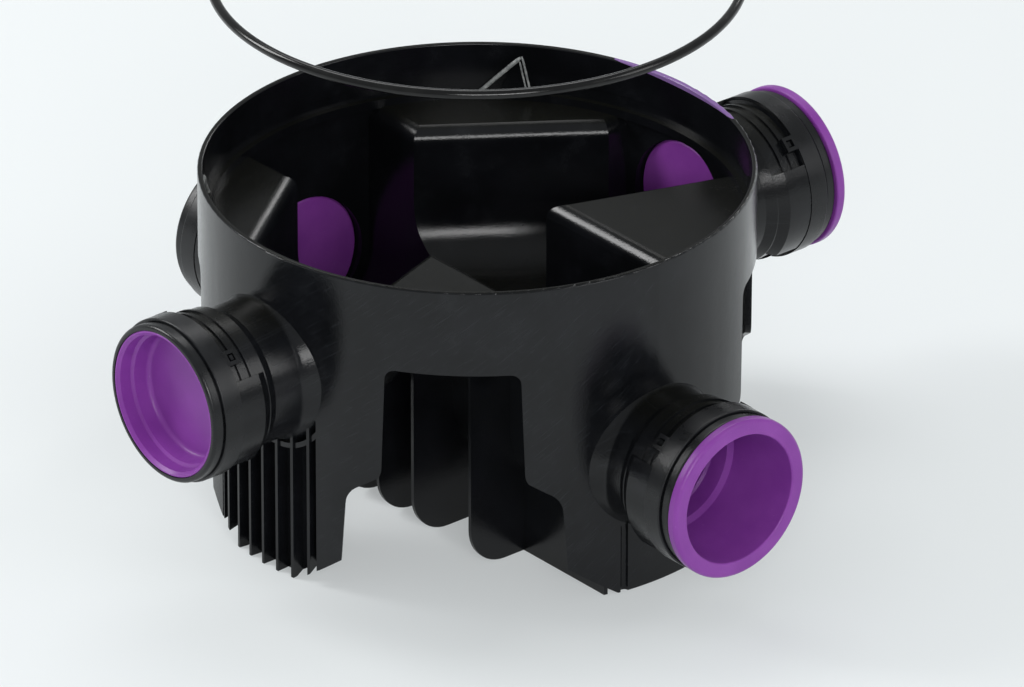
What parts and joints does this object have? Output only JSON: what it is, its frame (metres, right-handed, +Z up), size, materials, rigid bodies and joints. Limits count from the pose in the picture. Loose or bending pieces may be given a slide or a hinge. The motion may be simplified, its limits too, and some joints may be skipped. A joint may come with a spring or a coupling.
{
  "type": "drain inspection chamber base",
  "caption": "Moulded drain inspection chamber base with benched channels, capped pipe sockets, blanking plugs, feet with windows and a lifted ring seal.",
  "frame": {"origin": "on the ground, on the shaft's axis, at the underside of the middle cross web", "axes": "+X along the main run towards its inlet, +Y towards the right side inlet, +Z up along the shaft"},
  "size_m": [0.591, 0.617, 0.4278],
  "materials": {
    "chamber": "satin, moulded",
    "cap": "satin, moulded",
    "plug": "satin, moulded",
    "seal": "matte",
    "riser_seal": "satin"
  },
  "bodies": {
    "chamber": {"chamber_base": "chamber", "main_inlet_seal": "seal", "right_inlet_seal": "seal", "outlet_seal": "seal", "left_inlet_seal": "seal", "main_inlet_cap": "cap", "right_inlet_cap": "cap", "outlet_cap": "cap", "left_inlet_cap": "cap"},
    "main_inlet_plug_body": {"main_inlet_plug": "plug"},
    "right_inlet_plug_body": {"right_inlet_plug": "plug"},
    "outlet_plug_body": {"outlet_plug": "plug"},
    "left_inlet_plug_body": {"left_inlet_plug": "plug"},
    "riser_seal_body": {"riser_seal": "riser_seal"}
  },
  "joints": [
    {"name": "main_inlet_plug_slide", "type": "slide", "parent": "chamber", "child": "main_inlet_plug_body", "axis": [1, 0, 0], "range_m": [0, 0.09]},
    {"name": "right_inlet_plug_slide", "type": "slide", "parent": "chamber", "child": "right_inlet_plug_body", "axis": [0, 1, 0], "range_m": [0, 0.09]},
    {"name": "outlet_plug_slide", "type": "slide", "parent": "chamber", "child": "outlet_plug_body", "axis": [-1, 0, 0], "range_m": [0, 0.09]},
    {"name": "left_inlet_plug_slide", "type": "slide", "parent": "chamber", "child": "left_inlet_plug_body", "axis": [0, -1, 0], "range_m": [0, 0.09]},
    {"name": "riser_seal_drop", "type": "slide", "parent": "chamber", "child": "riser_seal_body", "axis": [0, 0, 1], "range_m": [-0.1929, 0]}
  ]
}
